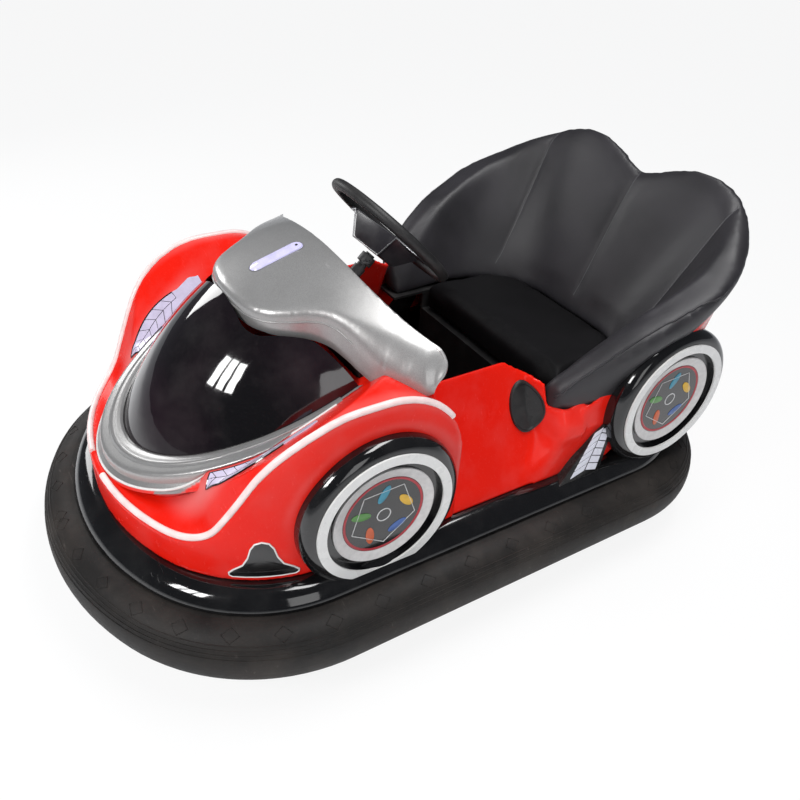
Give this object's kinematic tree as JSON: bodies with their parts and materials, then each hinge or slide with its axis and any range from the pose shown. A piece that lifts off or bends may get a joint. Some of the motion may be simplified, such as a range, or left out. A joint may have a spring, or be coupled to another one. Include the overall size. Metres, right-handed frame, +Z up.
{
  "type": "bumper car",
  "caption": "Two-seat fairground bumper car with a rubber bumper ring, moulded shells, padded seat, steered drive wheel under the nose and rolling rear wheels.",
  "frame": {"origin": "on the floor under the middle of the bounding box", "axes": "+Z up, +Y to the tail, the nose points to -Y, +X is the driver's left"},
  "size_m": [1.272, 1.9498, 1.0132],
  "materials": {
    "red_shell": "glossy moulded red",
    "silver_shell": "silver metallic paint on a moulded shell",
    "black_gloss": "gloss black moulding",
    "dark_screen": "gloss black opaque screen",
    "black_matte": "matte black moulding",
    "bumper_rubber": "matte moulded rubber",
    "wheel_rubber": "solid rubber tyre",
    "steel": "black painted steel",
    "leatherette": "satin black leatherette over foam",
    "white_lens": "white lamp cover",
    "white_trim": "white plastic trim",
    "disc_print": "dark printed disc"
  },
  "bodies": {
    "chassis": {"bumper_ring": "bumper_rubber", "lower_skirt": "black_gloss", "chassis_frame": "steel", "floor_pan": "black_matte", "nose_shell": "red_shell", "nose_surround": "silver_shell", "windscreen_dome": "dark_screen", "cowl": "silver_shell", "cowl_lamp": "white_lens", "dash_panel": "black_matte", "rear_shell": "red_shell", "seat_back": "leatherette", "seat_cushion": "leatherette", "seat_shelf": "black_matte", "seat_base": "black_matte", "battery": "black_matte", "column_jacket": "steel", "swivel_bridge": "steel", "rear_axle": "steel", "light_strip_left": "white_lens", "headlamp_left": "white_lens", "waist_panel_left": "red_shell", "speaker_port_left": "black_matte", "armrest_left": "leatherette", "badge_plate_left": "black_gloss", "side_lamp_left": "black_gloss", "front_cover_left": "black_gloss", "front_ring_left": "white_trim", "front_disc_left": "disc_print", "rear_cover_left": "black_gloss", "rear_ring_left": "white_trim", "rear_disc_left": "disc_print", "light_strip_right": "white_lens", "headlamp_right": "white_lens", "waist_panel_right": "red_shell", "speaker_port_right": "black_matte", "armrest_right": "leatherette", "badge_plate_right": "black_gloss", "side_lamp_right": "black_gloss", "front_cover_right": "black_gloss", "front_ring_right": "white_trim", "front_disc_right": "disc_print", "rear_cover_right": "black_gloss", "rear_ring_right": "white_trim", "rear_disc_right": "disc_print"},
    "steering": {"steering_rim": "black_matte", "steering_hub": "black_matte", "steering_column": "steel"},
    "drive_unit": {"drive_fork": "steel", "drive_motor": "steel"},
    "drive_wheel_set": {"drive_wheel": "wheel_rubber", "drive_hub": "steel"},
    "rear_wheel_set_left": {"rear_wheel_left": "wheel_rubber", "rear_hub_left": "steel"},
    "rear_wheel_set_right": {"rear_wheel_right": "wheel_rubber", "rear_hub_right": "steel"}
  },
  "joints": [
    {"name": "steering_turn", "type": "hinge", "parent": "chassis", "child": "steering", "pos_m": [0, 0, 0.869], "axis": [0, 0.7193, 0.6947], "range_deg": [-180, 180]},
    {"name": "drive_swivel", "type": "hinge", "parent": "chassis", "child": "drive_unit", "pos_m": [0, -0.445, 0.1], "axis": [0, 0, 1], "range_deg": [-180, 180]},
    {"name": "drive_wheel_spin", "type": "hinge", "parent": "drive_unit", "child": "drive_wheel_set", "pos_m": [0, -0.445, 0.1], "axis": [1, 0, 0], "continuous": true},
    {"name": "rear_wheel_spin_left", "type": "hinge", "parent": "chassis", "child": "rear_wheel_set_left", "pos_m": [0.3, 0.56, 0.08], "axis": [1, 0, 0], "continuous": true},
    {"name": "rear_wheel_spin_right", "type": "hinge", "parent": "chassis", "child": "rear_wheel_set_right", "pos_m": [-0.3, 0.56, 0.08], "axis": [1, 0, 0], "continuous": true}
  ],
  "couplings": [
    {"joint": "drive_swivel", "follows": "steering_turn", "ratio": 1}
  ]
}
